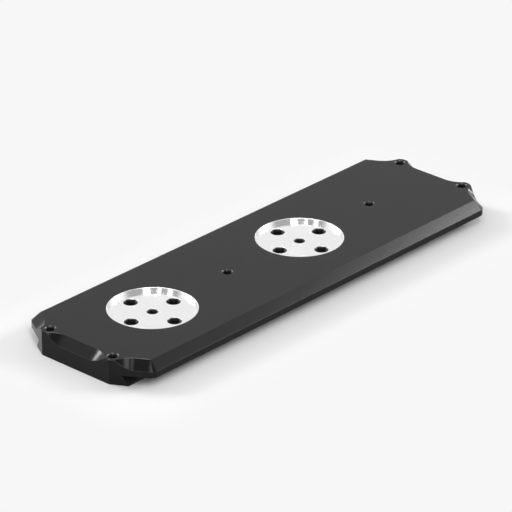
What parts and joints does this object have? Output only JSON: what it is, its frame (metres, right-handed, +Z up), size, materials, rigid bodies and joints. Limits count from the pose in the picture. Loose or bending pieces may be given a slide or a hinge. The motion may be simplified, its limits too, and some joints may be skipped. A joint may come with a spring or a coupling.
{
  "type": "dovetail bar",
  "caption": "Flat dovetail mounting bar with bevelled edges and cut corners, shallow round seats with bolt circles, and tapped holes, for clamping a tube or lens to a saddle.",
  "frame": {"origin": "middle of the underside", "axes": "+X along the bar, away from the end next to the first seat; +Y across; +Z up, out of the seats"},
  "size_m": [0.325, 0.101, 0.016],
  "materials": {
    "black_anodised": "satin black anodised, with the two round seats bare and turned"
  },
  "bodies": {
    "root": {"dovetail_bar": "black_anodised"}
  },
  "joints": []
}
